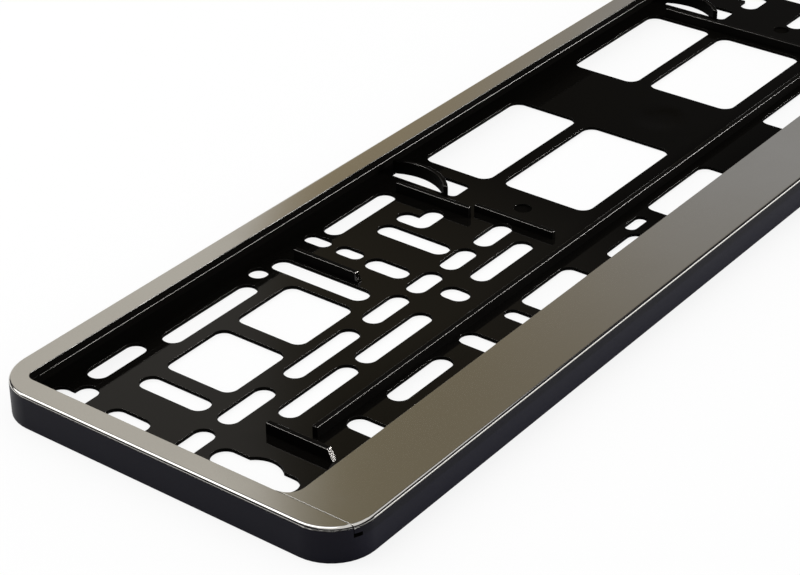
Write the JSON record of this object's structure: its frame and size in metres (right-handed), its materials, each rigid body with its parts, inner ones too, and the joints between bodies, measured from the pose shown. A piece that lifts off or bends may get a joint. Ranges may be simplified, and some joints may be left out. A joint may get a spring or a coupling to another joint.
{
  "type": "number plate frame",
  "caption": "Slotted black plastic tray that holds a vehicle number plate, with a bright rim on three sides and a clip-on bright strip along the bottom.",
  "frame": {"origin": "middle of the flat back face", "axes": "+X along the plate, +Y up the plate towards the top rim, +Z out of the bright face"},
  "size_m": [0.532, 0.125, 0.011],
  "materials": {
    "black_plastic": "gloss",
    "bright_film": "polished"
  },
  "bodies": {
    "root": {"holder": "black_plastic", "lip": "black_plastic", "strip": "black_plastic", "rim_film": "bright_film", "strip_film": "bright_film"}
  },
  "joints": []
}
